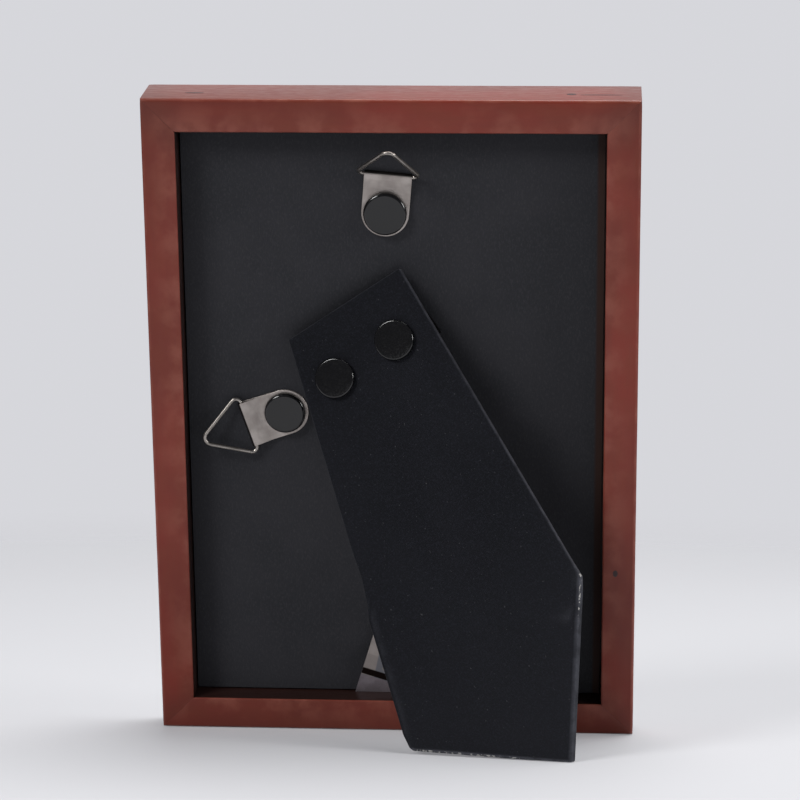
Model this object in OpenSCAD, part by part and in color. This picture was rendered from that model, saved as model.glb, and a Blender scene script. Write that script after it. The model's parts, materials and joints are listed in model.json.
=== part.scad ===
// Coin display frame: a mitred hardwood box frame that stands on a two-way easel strut.
// Local frame axes: x across, y rearwards from the rear face, z up along the leaning frame.

/* [Frame] */
// Overall width of the frame
frame_w = 150; // [140:1:170]
// Overall height of the frame, along its lean
frame_h = 205; // [200:1:220]
// Overall depth, front face to rear face
frame_d = 21; // [19:0.5:24]
// Width of a rail's rear face
rail_w = 10.25; // [9:0.25:12]
// Angle by which the standing frame leans back
lean = 16; // [14:0.5:18]
// Radius that eases the long edges of the rails
arris_r = 1; // [0.5:0.1:1.5]
// How far the front lip covers the glass
lip_w = 5; // [4:0.5:7]
// Thickness of the front lip
lip_t = 3.5; // [3:0.1:4]
// Depth of the rear face above the covered backboard
recess = 8; // [7.5:0.1:8.5]

/* [Contents] */
// Thickness of the glass
glass_t = 2; // [1.6:0.1:2.2]
// Thickness of the window mat
mat_t = 1.4; // [1.2:0.1:1.6]
// Thickness of the board that holds the coins
carrier_t = 3; // [2.7:0.1:3.2]
// Thickness of the card behind the coins
card_t = 0.6; // [0.4:0.1:0.8]
// Thickness of the cover paper on the backboard
paper_t = 0.2; // [0.15:0.05:0.3]
// Radius of the centre coin
centre_coin_r = 19.05; // [17:0.05:20]
// Radius of each lower coin
lower_coin_r = 15.3; // [12:0.1:16]
// Radius of each upper coin
upper_coin_r = 12.15; // [10:0.05:14]

/* [Strut] */
// Slope of the strut's hinge line against the frame's base
hinge_slope = 34; // [32:0.5:36]
// Height of the hinge axis's outer end above the frame's base
hinge_z = 126.6; // [125:0.1:129]
// Distance of the hinge axis's outer end from the frame's centre line
hinge_x = 30.8; // [28:0.1:33]
// Angle between the strut and the backboard when the strut is open
strut_open = 22.6; // [22:0.1:24]
// Angle between the strut and the backboard when it rests on the bottom rail
strut_shut = 2.9; // [2.9:0.1:4]
// Width of the strut's top edge
strut_w = 41.5; // [40:0.5:44]
// Length of the strut's straight side, from the hinge axis
strut_side = 107; // [105:0.5:109]
// Length of the foot edge used when the frame lies on its side
side_foot = 56.2; // [55:0.1:57]
// Length of the foot edge used when the frame stands upright
base_foot = 49.6; // [48:0.1:51]
// Thickness of the covered strut
strut_t = 2.4; // [2.2:0.1:2.8]
// Thickness of the cover on each side of the strut
cover_t = 0.2; // [0.15:0.05:0.3]

/* [Hangers] */
// Radius of each rivet head
head_r = 6.2; // [5.5:0.1:6.5]
// Height of each rivet head
head_h = 1.7; // [1.4:0.1:2]
// Width of a hanger plate
plate_w = 14.5; // [14:0.5:16]
// Distance from a hanger's rivet to its sleeve
sleeve_reach = 12; // [11.5:0.1:13]
// Radius of the ring wire
wire_r = 0.5; // [0.45:0.05:0.6]
// Width of a ring between the centres of its wire
ring_w = 18; // [17.5:0.1:18.5]
// Height of a ring between the centres of its wire
ring_h = 15; // [14:0.1:15.5]
// Tilt of the top hanger to the side
top_swivel = -5.2; // [-10:0.1:10]
// Angle of the top ring out of the backboard's plane
top_ring_tilt = 49; // [35:1:60]
// Angle of the side hanger from straight up
side_swivel = 108.4; // [90:0.1:120]
// Angle of the side ring out of the backboard's plane
side_ring_tilt = 12; // [8:1:25]

/* [Hidden] */
$fn = 64;
eps = 0.01;
far = 400;

// Depths of the layers, counted from the rear face
glass_front = -frame_d + lip_t;
mat_front = glass_front + glass_t;
carrier_front = mat_front + mat_t;
card_front = carrier_front + carrier_t;
board_front = card_front + card_t;
board_rear = -recess - paper_t;
layer_gap = 0.5;
layer_w = frame_w - 2 * rail_w - 2 * layer_gap;
layer_h = frame_h - 2 * rail_w - 2 * layer_gap;

// Brads driven through the mitres: in from the rail's end, down from its face, back from the rear
brad_r = 0.6;
brad_in = 5.4;
brad_cover = 1;
brad_len = 16;
brad_y = -6;
brad_pitch = 7;

// Places of the coins, from the middle of the frame
upper_coin_x = 31;
upper_coin_z = 52;
lower_coin_x = 32;
lower_coin_z = -50;
coin_t = 2.4;
coin_rim_w = 1.2;
coin_field_d = 0.3;
coin_gap = 0.1;
window_lap = 0.8;

// Places of the hangers' rivets, along the frame
top_rivet = [2.2, 168.3];
side_rivet = [34.1, 104.3];
sheet_t = 0.8;
sheet_gap = 0.1;
sleeve_r = 1.15;
sleeve_h = sleeve_r + sheet_gap;
run_gap = 0.06;
head_dish = 0.35;
shank_r = 2;
tail_r = 3.2;
tail_t = 0.7;
bar_spare = 0.05;
strut_shank_r = 1.6;

// Strut hinge: its axis stands above the backboard by hinge_h
hinge_h = 1.4;
knuckle_r = 1.1;
pin_r = 0.55;
leaf_t = 0.6;
leaf_len = 22;
knuckle_gap = 0.3;
knuckle_count = 5;
knuckle_inset = 1.5;
leaf_from = knuckle_r + 0.5;
knuckle_len = (strut_w - 2 * knuckle_inset) / knuckle_count;
strut_top = -1.5;
foot_spare = 1.5;
strut_rivet_y = 16.6;
strut_rivet_x = [-6.9, -29];
leaf_rivet_y = 9;
leaf_rivet_x = [-5.8, -18, -36.5];
small_rivet_r = 1.1;
small_head_r = 2;
small_head_t = 0.5;

// Stay: a leaf hinged to the backboard whose cross pin slides in the strut's keeper
stay_x = -18;
stay_y = 60;
stay_h = 1.9;
stay_len = 50;
stay_w = 13;
stay_edge = stay_w / 2;
lug_w = 2.2;
pivot_half = stay_edge + lug_w + knuckle_gap;
crosspiece_w = 3.5;
run_room = 0.5;
stay_leaf_t = 0.8;
cross_pin_r = 0.8;
cross_eye_r = 1.3;
cross_drop = 2.3;
keeper_wall = 0.7;
keeper_w = 20;
keeper_depth = 3.9;
slot_h = 2 * cross_pin_r + 0.4;
stop_gap = 0.1;
strap_w = 14;
strap_tilt = 17;
strap_foot_z = rail_w + 0.1;
strap_foot_x = 13.6;
foot_plate_t = 1;
foot_plate_len = 14;
strap_lap = 7;
joggle_gap = 0.3;
joggle_len = 4;
strap_len = 78;
strap_rivet_at = [11, 60];

// Angle of the stay leaf for a strut angle: the cross pin stays on the keeper's line
function stay_angle(a) = a + asin((strut_line + stay_y * sin(a)
    - (stay_h - hinge_h) * cos(a)) / stay_len);
// Distance of the cross pin from the hinge axis, along the strut
function pin_travel(a) = stay_y * cos(a) + (stay_h - hinge_h) * sin(a)
    + stay_len * cos(stay_angle(a) - a);
strut_line = knuckle_r - cross_drop;
slot_from = pin_travel(strut_open) - cross_pin_r - stop_gap;
slot_to = pin_travel(strut_shut) + cross_pin_r + stop_gap;
keeper_end = 3;
keeper_from = slot_from - keeper_end;
keeper_to = slot_to + keeper_end;
keeper_rivet_places = [[stay_x, keeper_from + keeper_end / 2], [stay_x, keeper_to - keeper_end / 2]];
keeper_rivet_cover = 0.5;

// Corner points of the strut, from the hinge axis: x along the axis, y down the strut
side_corner = [-strut_w, strut_side];
tip = side_corner + side_foot * [sin(hinge_slope), cos(hinge_slope)];
base_corner = tip + base_foot * [cos(hinge_slope), -sin(hinge_slope)];

// World place of a point given along the hinge, down the strut and out from its axis
function on_strut(p) = let (
    y = p.y * cos(strut_open) - p.z * sin(strut_open),
    n = p.y * sin(strut_open) + p.z * cos(strut_open) + hinge_h - recess,
    x = hinge_x + p.x * cos(hinge_slope) - y * sin(hinge_slope),
    z = hinge_z - p.x * sin(hinge_slope) - y * cos(hinge_slope))
    [x, n * cos(lean) + z * sin(lean), z * cos(lean) - n * sin(lean) - settle];

// The rounded lower rear edge touches the ground a little above the sharp corner
settle = arris_r * (cos(lean) + sin(lean) - 1);
side_outer = on_strut([side_corner.x, side_corner.y, knuckle_r + strut_t]);
tip_outer = on_strut([tip.x, tip.y, knuckle_r + strut_t]);
tip_y = tip_outer.y - tip_outer.z * (side_outer.y - tip_outer.y) / (side_outer.z - tip_outer.z);
front_y = (arris_r - frame_d) * cos(lean) + arris_r * sin(lean) - arris_r;
origin_y = (tip_y + front_y) / 2;

// ---- Placing ----

module stand() {
    translate([0, -origin_y, -settle]) rotate([-lean, 0, 0]) children();
}

// x along the hinge axis, y down the backboard, z out of it
module at_hinge() {
    stand() translate([hinge_x, hinge_h - recess, hinge_z])
        rotate([0, hinge_slope, 0]) rotate([-90, 0, 0]) children();
}

module on_open_strut() {
    at_hinge() rotate([strut_open, 0, 0]) children();
}

// x and y in the backboard's plane with y up, z out of the backboard
module on_backboard(place, turn = 0) {
    stand() translate([place.x, -recess, place.y])
        rotate([90, 0, 180]) rotate([0, 0, turn]) children();
}

module on_strap() {
    on_backboard([strap_foot_x, strap_foot_z], -strap_tilt) children();
}

module above_ground(height = 0) {
    difference() {
        children();
        translate([-far / 2, -far / 2, height - far / 2]) cube([far, far, far / 2]);
    }
}

// ---- Wooden frame ----

module eased_square(size, r) {
    translate([r, 0]) square([size.x - 2 * r, size.y]);
    translate([0, r]) square([size.x, size.y - 2 * r]);
    for (x = [r, size.x - r], y = [r, size.y - r]) translate([x, y]) circle(r);
}

module rail_profile() {
    translate([-frame_d, 0]) eased_square([frame_d, rail_w], arris_r);
    translate([-frame_d, 0]) eased_square([lip_t, rail_w + lip_w], arris_r);
    translate([arris_r - frame_d, arris_r]) square([lip_t - arris_r, rail_w - arris_r]);
    translate([-frame_d + lip_t / 2, rail_w]) square([lip_t / 2, lip_w]);
}

module mitred_rail(length) {
    reach = rail_w + lip_w;
    intersection() {
        rotate([90, 0, 90]) linear_extrude(length, center = true) rail_profile();
        translate([0, far / 2, 0]) rotate([90, 0, 0]) linear_extrude(far)
            polygon([[-length / 2, 0], [length / 2, 0],
                [length / 2 - reach, reach], [reach - length / 2, reach]]);
    }
}

module brad_row() {
    for (x = [-1, 1], z = [0, 1]) {
        translate([x * (frame_w / 2 - brad_in), brad_y, z ? frame_h - brad_cover : brad_cover])
            rotate([z ? 180 : 0, 0, 0]) cylinder(h = brad_len, r = brad_r, $fn = 24);
        translate([x * (frame_w / 2 - brad_cover), brad_y - brad_pitch,
            z ? frame_h - brad_in : brad_in])
            rotate([0, -90 * x, 0]) cylinder(h = brad_len, r = brad_r, $fn = 24);
    }
}
module rail_colour() {
    color([0.42, 0.2, 0.17]) children();
}

module bottom_rail() {
    rail_colour() stand() difference() {
        mitred_rail(frame_w);
        brad_row();
    }
}

module top_rail() {
    rail_colour() stand() difference() {
        translate([0, 0, frame_h]) mirror([0, 0, 1]) mitred_rail(frame_w);
        brad_row();
    }
}

module stile(side) {
    rail_colour() stand() difference() {
        translate([side * frame_w / 2, 0, frame_h / 2])
            rotate([0, -90 * side, 0]) mitred_rail(frame_h);
        brad_row();
    }
}

module left_stile() {
    stile(-1);
}

module right_stile() {
    stile(1);
}

module corner_brads() {
    color("silver") stand() brad_row();
}

// ---- Layers inside the frame ----

module layer(front, thickness) {
    translate([-layer_w / 2, front, rail_w + layer_gap]) cube([layer_w, thickness, layer_h]);
}

module coin_places(x, z) {
    translate([x, 0, frame_h / 2 + z]) rotate([90, 0, 0]) children();
}

module coin_holes(front, thickness, lap) {
    for (c = [[0, 0, centre_coin_r], [-upper_coin_x, upper_coin_z, upper_coin_r],
        [upper_coin_x, upper_coin_z, upper_coin_r], [-lower_coin_x, lower_coin_z, lower_coin_r],
        [lower_coin_x, lower_coin_z, lower_coin_r]])
        coin_places(c[0], c[1]) translate([0, 0, -front - thickness - 1])
            cylinder(h = thickness + 2, r = c[2] + lap);
}

module glass_pane() {
    color([0.8, 0.9, 0.9, 0.35]) stand() layer(glass_front, glass_t);
}

module mat_board() {
    color([0.1, 0.13, 0.24]) stand() difference() {
        layer(mat_front, mat_t);
        coin_holes(mat_front, mat_t, -window_lap);
    }
}

module coin_carrier() {
    color([0.12, 0.12, 0.13]) stand() difference() {
        layer(carrier_front, carrier_t);
        coin_holes(carrier_front, carrier_t, coin_gap);
    }
}

// Both faces have a raised rim around a slightly sunk field
module coin(x, z, r) {
    field_r = r - coin_rim_w;
    color([0.75, 0.74, 0.7]) stand() translate([0, carrier_front + coin_t, 0])
        coin_places(x, z) rotate_extrude() polygon([[0, coin_field_d], [field_r, coin_field_d],
            [field_r, 0], [r, 0], [r, coin_t], [field_r, coin_t],
            [field_r, coin_t - coin_field_d], [0, coin_t - coin_field_d]]);
}

module centre_coin() {
    coin(0, 0, centre_coin_r);
}

module upper_left_coin() {
    coin(-upper_coin_x, upper_coin_z, upper_coin_r);
}

module upper_right_coin() {
    coin(upper_coin_x, upper_coin_z, upper_coin_r);
}

module lower_left_coin() {
    coin(-lower_coin_x, lower_coin_z, lower_coin_r);
}

module lower_right_coin() {
    coin(lower_coin_x, lower_coin_z, lower_coin_r);
}

module backing_card() {
    color([0.6, 0.55, 0.45]) stand() layer(card_front, card_t);
}

// ---- Backboard and its rivets ----

module hanger_shanks(grow = 0) {
    for (p = [top_rivet, side_rivet]) on_backboard(p)
        translate([0, 0, -recess]) cylinder(h = recess + 1, r = shank_r + grow);
}

module leaf_rivet_places() {
    for (x = leaf_rivet_x) at_hinge() translate([x, leaf_rivet_y, -hinge_h]) children();
}

module strap_rivet_places() {
    for (y = strap_rivet_at) on_strap() translate([strap_w / 2, y, 0]) children();
}

// A shank through the board with a flat tail let into the board's front face
module through_rivet(shank, tail) {
    board_t = board_rear - board_front + paper_t;
    translate([0, 0, -board_t]) cylinder(h = board_t + eps, r = shank);
    translate([0, 0, -board_t]) cylinder(h = tail_t, r = tail);
}

module board_rivet_holes() {
    for (p = [top_rivet, side_rivet]) on_backboard(p) through_rivet(shank_r, tail_r);
    leaf_rivet_places() through_rivet(small_rivet_r, small_head_r);
    strap_rivet_places() through_rivet(small_rivet_r, small_head_r);
}

module backboard() {
    color([0.35, 0.27, 0.2]) difference() {
        stand() layer(board_front, board_rear - board_front);
        board_rivet_holes();
    }
}

module backboard_cover() {
    color([0.17, 0.17, 0.185]) difference() {
        stand() layer(board_rear, paper_t);
        board_rivet_holes();
    }
}

// A button head with a slightly dished face and a rolled rim
module button_head() {
    rim_r = head_h / 2;
    rotate_extrude() {
        square([head_r - rim_r, head_h - head_dish]);
        translate([head_r - rim_r, rim_r]) circle(rim_r);
        translate([head_r - 2 * rim_r, 0]) square([rim_r, rim_r]);
    }
}

module hanger_rivet(place) {
    color([0.08, 0.08, 0.09]) on_backboard(place) {
        through_rivet(shank_r, tail_r);
        cylinder(h = sheet_t + 2 * sheet_gap + eps, r = shank_r);
        translate([0, 0, sheet_t + 2 * sheet_gap]) button_head();
    }
}

module top_hanger_rivet() {
    hanger_rivet(top_rivet);
}

module side_hanger_rivet() {
    hanger_rivet(side_rivet);
}

// ---- Hangers ----

module hanger_plate(place, turn) {
    half = plate_w / 2;
    color([0.55, 0.52, 0.49]) on_backboard(place, turn) difference() {
        union() {
            translate([0, 0, sheet_gap]) cylinder(h = sheet_t, r = half);
            translate([-half, 0, sheet_gap]) cube([plate_w, sleeve_reach, sheet_t]);
            translate([-half, sleeve_reach, sleeve_h]) rotate([0, 90, 0])
                cylinder(h = plate_w, r = sleeve_r, $fn = 32);
        }
        translate([0, 0, -1]) cylinder(h = sheet_t + 2, r = shank_r + run_gap);
        translate([-half - 1, sleeve_reach, sleeve_h]) rotate([0, 90, 0])
            cylinder(h = plate_w + 2, r = wire_r + run_gap, $fn = 32);
    }
}

module top_hanger_plate() {
    hanger_plate(top_rivet, top_swivel);
}

module side_hanger_plate() {
    hanger_plate(side_rivet, side_swivel);
}

// A closed wire triangle; its base lies on the x axis and turns in the sleeve
module wire_triangle() {
    side = [ring_w / 2, ring_h];
    translate([-ring_w / 2, 0, 0]) rotate([0, 90, 0])
        cylinder(h = ring_w, r = wire_r, $fn = 24);
    linear_extrude(2 * (wire_r + bar_spare), center = true) {
        translate([0, ring_h]) circle(wire_r, $fn = 24);
        for (end = [0, 1]) mirror([end, 0]) translate([-ring_w / 2, 0]) {
            circle(wire_r + 2 * bar_spare, $fn = 24);
            rotate(atan2(side.y, side.x)) translate([0, -wire_r])
                square([norm(side), 2 * wire_r]);
        }
    }
}

module hanger_ring(place, turn, tilt) {
    color([0.5, 0.47, 0.44]) on_backboard(place, turn)
        translate([0, sleeve_reach, sleeve_h]) rotate([tilt, 0, 0]) wire_triangle();
}

module top_hanger_ring() {
    hanger_ring(top_rivet, top_swivel, top_ring_tilt);
}

module side_hanger_ring() {
    hanger_ring(side_rivet, side_swivel, side_ring_tilt);
}

// ---- Strut hinge ----

module knuckles(first, bore) {
    for (i = [first:2:knuckle_count - 1])
        translate([-strut_w + knuckle_inset + i * knuckle_len + knuckle_gap / 2, 0, 0])
            rotate([0, 90, 0]) difference() {
                cylinder(h = knuckle_len - knuckle_gap, r = knuckle_r, $fn = 32);
                translate([0, 0, -1]) cylinder(h = knuckle_len + 2, r = bore, $fn = 32);
            }
}

// A flat leaf whose tongues reach its own knuckles and clear the other leaf's
module hinge_leaf(first, bottom, from) {
    translate([knuckle_inset - strut_w, from, bottom])
        cube([strut_w - 2 * knuckle_inset, leaf_len - from, leaf_t]);
    for (i = [first:2:knuckle_count - 1])
        translate([-strut_w + knuckle_inset + i * knuckle_len + knuckle_gap / 2, 0, bottom])
            cube([knuckle_len - knuckle_gap, from + eps, leaf_t]);
}

module pin_bore(r) {
    translate([-strut_w - 1, 0, 0]) rotate([0, 90, 0]) cylinder(h = strut_w + 2, r = r, $fn = 32);
}

module hinge_fixed_leaf() {
    color([0.5, 0.48, 0.46]) at_hinge() difference() {
        union() {
            hinge_leaf(0, -hinge_h, leaf_from);
            knuckles(0, pin_r);
        }
        pin_bore(pin_r);
        for (x = leaf_rivet_x) translate([x, leaf_rivet_y, -hinge_h - 1])
            cylinder(h = leaf_t + 2, r = small_rivet_r);
    }
}

module hinge_leaf_rivets() {
    color([0.5, 0.48, 0.46]) leaf_rivet_places() {
        through_rivet(small_rivet_r, small_head_r);
        cylinder(h = leaf_t + eps, r = small_rivet_r);
        translate([0, 0, leaf_t]) cylinder(h = small_head_t, r = small_head_r);
    }
}

module hinge_pin() {
    color([0.6, 0.58, 0.55]) at_hinge() translate([knuckle_inset - strut_w, 0, 0])
        rotate([0, 90, 0]) cylinder(h = strut_w - 2 * knuckle_inset, r = pin_r, $fn = 32);
}

module hinge_moving_leaf() {
    color([0.5, 0.48, 0.46]) on_open_strut() difference() {
        union() {
            hinge_leaf(1, knuckle_r - leaf_t, leaf_from);
            knuckles(1, pin_r + run_gap);
        }
        pin_bore(pin_r + run_gap);
        for (x = strut_rivet_x) translate([x, strut_rivet_y, -1])
            cylinder(h = knuckle_r + 2, r = strut_shank_r);
    }
}

// ---- Strut ----

// The strut's outline, drawn in by inset, with spare length that the ground cuts off
module strut_outline(inset, spare) {
    longer = spare * [sin(hinge_slope), cos(hinge_slope)];
    slant = base_corner - [0, strut_top];
    side_in = [-inset * norm(slant) / slant.y, 0];
    polygon([[0, strut_top + inset] + side_in,
        [inset - strut_w, strut_top + inset],
        [inset - strut_w, strut_side],
        tip + longer + inset * [cos(hinge_slope), -sin(hinge_slope)],
        base_corner + longer + side_in]);
}

module strut_shanks() {
    for (x = strut_rivet_x) translate([x, strut_rivet_y, 0])
        cylinder(h = knuckle_r + strut_t + 1, r = strut_shank_r);
    for (p = keeper_rivet_places) translate([p.x, p.y, 0])
        cylinder(h = knuckle_r + strut_t - cover_t - keeper_rivet_cover, r = small_rivet_r);
}
module strut_cover() {
    color([0.11, 0.115, 0.13]) above_ground() on_open_strut() difference() {
        translate([0, 0, knuckle_r]) linear_extrude(strut_t) strut_outline(0, foot_spare);
        translate([0, 0, knuckle_r + cover_t]) linear_extrude(strut_t - 2 * cover_t)
            strut_outline(cover_t, -cover_t);
        strut_shanks();
    }
}

module strut_board() {
    color([0.35, 0.27, 0.2]) above_ground(cover_t) on_open_strut() difference() {
        translate([0, 0, knuckle_r + cover_t]) linear_extrude(strut_t - 2 * cover_t)
            strut_outline(cover_t, -cover_t);
        strut_shanks();
    }
}

module strut_rivets() {
    color([0.06, 0.06, 0.07]) on_open_strut() for (x = strut_rivet_x)
        translate([x, strut_rivet_y, 0]) {
            translate([0, 0, knuckle_r - leaf_t - tail_t]) cylinder(h = tail_t, r = tail_r);
            translate([0, 0, knuckle_r - leaf_t - tail_t])
                cylinder(h = tail_t + leaf_t + strut_t + eps, r = strut_shank_r);
            translate([0, 0, knuckle_r + strut_t]) button_head();
        }
}

// ---- Stay ----

module stay_foot_plate() {
    color([0.42, 0.4, 0.39]) difference() {
        intersection() {
            on_strap() translate([0, -strap_w, 0])
                cube([strap_w, foot_plate_len + strap_w, foot_plate_t]);
            stand() translate([-far / 2, -far / 2, strap_foot_z]) cube([far, far, far]);
        }
        strap_rivet_places() translate([0, 0, -1])
            cylinder(h = foot_plate_t + 2, r = small_rivet_r);
    }
}

// The strap's foot is joggled up over the foot plate
module strap_side_profile() {
    high = foot_plate_len + joggle_gap;
    low = foot_plate_len + joggle_len;
    polygon([[strap_lap, foot_plate_t], [high, foot_plate_t], [low, 0], [strap_len, 0],
        [strap_len, sheet_t], [low, sheet_t], [high, foot_plate_t + sheet_t],
        [strap_lap, foot_plate_t + sheet_t]]);
}

module stay_knuckle(width, bore) {
    translate([0, stay_y, stay_h - hinge_h]) rotate([0, 90, 0]) difference() {
        cylinder(h = width, r = knuckle_r, $fn = 32);
        translate([0, 0, -1]) cylinder(h = width + 2, r = bore, $fn = 32);
    }
}

// Both lugs that hold the pivot, and the crosspiece that joins them to the strap
module at_lugs() {
    for (side = [-1, 1])
        translate([stay_x + side * (stay_edge + knuckle_gap + lug_w / 2) - lug_w / 2, 0, 0])
            children();
}

module stay_base_strap() {
    foot_edge = stay_y - knuckle_r - crosspiece_w;
    color([0.48, 0.46, 0.43]) difference() {
        union() {
            on_strap() rotate([90, 0, 90]) linear_extrude(strap_w) strap_side_profile();
            at_hinge() at_lugs() {
                translate([0, stay_y - knuckle_r, -hinge_h]) cube([lug_w, 2 * knuckle_r, stay_h]);
                translate([0, foot_edge, -hinge_h]) cube([lug_w, crosspiece_w + eps, sheet_t]);
            }
            at_hinge() at_lugs() stay_knuckle(lug_w, pin_r);
            at_hinge() translate([stay_x - pivot_half, foot_edge, -hinge_h])
                cube([2 * pivot_half, crosspiece_w - run_room, sheet_t]);
        }
        at_hinge() stay_bore(pin_r);
        at_hinge() translate([stay_x - stay_edge - knuckle_gap, stay_y - knuckle_r - run_room, -far / 2])
            cube([stay_w + 2 * knuckle_gap, far, far]);
        strap_rivet_places() translate([0, 0, -recess]) cylinder(h = 2 * recess, r = small_rivet_r);
    }
}

module stay_bore(r) {
    translate([stay_x - stay_w, stay_y, stay_h - hinge_h]) rotate([0, 90, 0])
        cylinder(h = 2 * stay_w, r = r, $fn = 32);
}

module stay_base_rivets() {
    color([0.5, 0.48, 0.46]) {
        strap_rivet_places() through_rivet(small_rivet_r, small_head_r);
        for (i = [0, 1]) on_strap() translate([strap_w / 2, strap_rivet_at[i], 0])
            cylinder(h = sheet_t + (i == 0 ? foot_plate_t : 0), r = small_rivet_r);
    }
}

module stay_pivot_pin() {
    color([0.6, 0.58, 0.55]) at_hinge()
        translate([stay_x - pivot_half, stay_y, stay_h - hinge_h])
        rotate([0, 90, 0]) cylinder(h = 2 * pivot_half, r = pin_r, $fn = 32);
}

// x along the pivot, y along the leaf, z out of it
module at_stay() {
    at_hinge() translate([stay_x, stay_y, stay_h - hinge_h])
        rotate([stay_angle(strut_open), 0, 0]) children();
}

module stay_leaf() {
    color([0.5, 0.48, 0.45]) at_stay() difference() {
        union() {
            translate([-stay_edge, 0, -stay_leaf_t / 2]) cube([stay_w, stay_len, stay_leaf_t]);
            translate([-stay_edge, 0, 0]) rotate([0, 90, 0])
                cylinder(h = stay_w, r = knuckle_r, $fn = 32);
            translate([-stay_edge, stay_len, 0]) rotate([0, 90, 0])
                cylinder(h = stay_w, r = cross_eye_r, $fn = 32);
        }
        translate([-stay_w, 0, 0]) rotate([0, 90, 0])
            cylinder(h = 2 * stay_w, r = pin_r + run_gap, $fn = 32);
        translate([-stay_w, stay_len, 0]) rotate([0, 90, 0])
            cylinder(h = 2 * stay_w, r = cross_pin_r, $fn = 32);
    }
}

module stay_cross_pin() {
    color([0.6, 0.58, 0.55]) at_stay() translate([-keeper_w / 2, stay_len, 0])
        rotate([0, 90, 0]) cylinder(h = keeper_w, r = cross_pin_r, $fn = 32);
}

// A channel on the strut's inner face with a slot in each cheek for the cross pin
module stay_keeper() {
    color([0.5, 0.48, 0.45]) on_open_strut() difference() {
        translate([stay_x - keeper_w / 2, keeper_from, knuckle_r - keeper_depth])
            cube([keeper_w, keeper_to - keeper_from, keeper_depth]);
        translate([stay_x - keeper_w / 2 + keeper_wall, keeper_from - 1,
            knuckle_r - keeper_depth - 1])
            cube([keeper_w - 2 * keeper_wall, keeper_to - keeper_from + 2,
                keeper_depth - keeper_wall + 1]);
        translate([stay_x - keeper_w, slot_from, strut_line - slot_h / 2])
            cube([2 * keeper_w, slot_to - slot_from, slot_h]);
        for (p = keeper_rivet_places) translate([p.x, p.y, 0])
            cylinder(h = knuckle_r + 1, r = small_rivet_r);
    }
}

module stay_keeper_rivets() {
    color([0.5, 0.48, 0.46]) on_open_strut() for (p = keeper_rivet_places)
        translate([p.x, p.y, knuckle_r - keeper_wall])
            cylinder(h = keeper_wall + strut_t - cover_t - keeper_rivet_cover,
                r = small_rivet_r);
}

top_rail();
bottom_rail();
left_stile();
right_stile();
corner_brads();
glass_pane();
mat_board();
coin_carrier();
centre_coin();
upper_left_coin();
upper_right_coin();
lower_left_coin();
lower_right_coin();
backing_card();
backboard();
backboard_cover();
top_hanger_rivet();
side_hanger_rivet();
top_hanger_plate();
top_hanger_ring();
side_hanger_plate();
side_hanger_ring();
hinge_fixed_leaf();
hinge_leaf_rivets();
hinge_pin();
hinge_moving_leaf();
strut_board();
strut_cover();
strut_rivets();
stay_foot_plate();
stay_base_strap();
stay_base_rivets();
stay_pivot_pin();
stay_leaf();
stay_cross_pin();
stay_keeper();
stay_keeper_rivets();
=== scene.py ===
"""Coin display frame: fine meshes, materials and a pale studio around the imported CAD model."""
import json
import math

import bmesh
import bpy
from mathutils import Matrix, Vector, noise


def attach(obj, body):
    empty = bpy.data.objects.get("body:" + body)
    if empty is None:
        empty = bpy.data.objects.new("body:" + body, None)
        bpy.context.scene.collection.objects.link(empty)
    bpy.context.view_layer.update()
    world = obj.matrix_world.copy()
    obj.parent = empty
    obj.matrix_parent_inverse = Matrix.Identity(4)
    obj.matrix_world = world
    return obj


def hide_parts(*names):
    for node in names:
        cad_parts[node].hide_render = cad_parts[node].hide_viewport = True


noise.seed_set(1)     # otherwise noise_vector starts from the clock
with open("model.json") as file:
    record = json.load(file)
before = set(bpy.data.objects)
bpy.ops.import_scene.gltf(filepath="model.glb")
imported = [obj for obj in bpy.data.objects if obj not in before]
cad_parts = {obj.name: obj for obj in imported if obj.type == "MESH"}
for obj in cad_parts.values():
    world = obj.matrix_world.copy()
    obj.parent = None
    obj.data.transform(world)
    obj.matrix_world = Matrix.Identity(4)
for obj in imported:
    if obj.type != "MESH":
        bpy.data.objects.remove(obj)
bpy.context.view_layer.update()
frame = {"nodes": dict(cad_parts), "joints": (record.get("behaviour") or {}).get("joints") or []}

# ---- Sizes in millimetres and degrees, the same as the CAD model's ----
# Comments say left and right as seen from behind, like the photograph. The names of the stiles and
# coins say them as seen from the front.
MM = 0.001
FRAME_W, FRAME_H, FRAME_D = 150.0, 205.0, 21.0
RAIL_W, LIP_W, LIP_T, ARRIS_R = 10.25, 5.0, 3.5, 1.0
RECESS = 8.0
GLASS_T, MAT_T, LAYER_GAP = 2.0, 1.4, 0.5
TOP_RIVET, SIDE_RIVET = (2.2, 168.3), (34.1, 104.3)
SWIVEL_H = 0.5     # a hanger's swivel point above the backboard
HEAD_R, HEAD_H = 6.2, 1.7
TOP_HEAD_EXTRA, SIDE_HEAD_EXTRA = 0.45, 0.2     # the hangers' rivet heads are a little broader
HANGER_ROLL, STRUT_ROLL = 1.0, 0.6     # radius of a rivet head's rolled edge
SHEET_T, SHEET_GAP = 0.8, 0.1
PLATE_W, SLEEVE_REACH, SLEEVE_R = 14.5, 12.0, 1.15
SLEEVE_H = SLEEVE_R + SHEET_GAP
WIRE_R, RING_W, RING_H = 0.6, 18.0, 15.0
TOP_SWIVEL, TOP_RING_TILT = -5.2, 49.0
SIDE_SWIVEL, SIDE_RING_TILT = 108.4, 12.0
HINGE_X, HINGE_Z, HINGE_H, HINGE_SLOPE = 30.8, 126.6, 1.4, 34.0
STRUT_OPEN, STRUT_W, STRUT_SIDE, STRUT_T = 22.6, 41.5, 107.0, 2.4
SIDE_FOOT, BASE_FOOT, STRUT_TOP = 56.2, 49.6, -1.5
KNUCKLE_R = 1.1
STRUT_RIVETS = ((-6.9, 16.6), (-29.0, 16.6))
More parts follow.
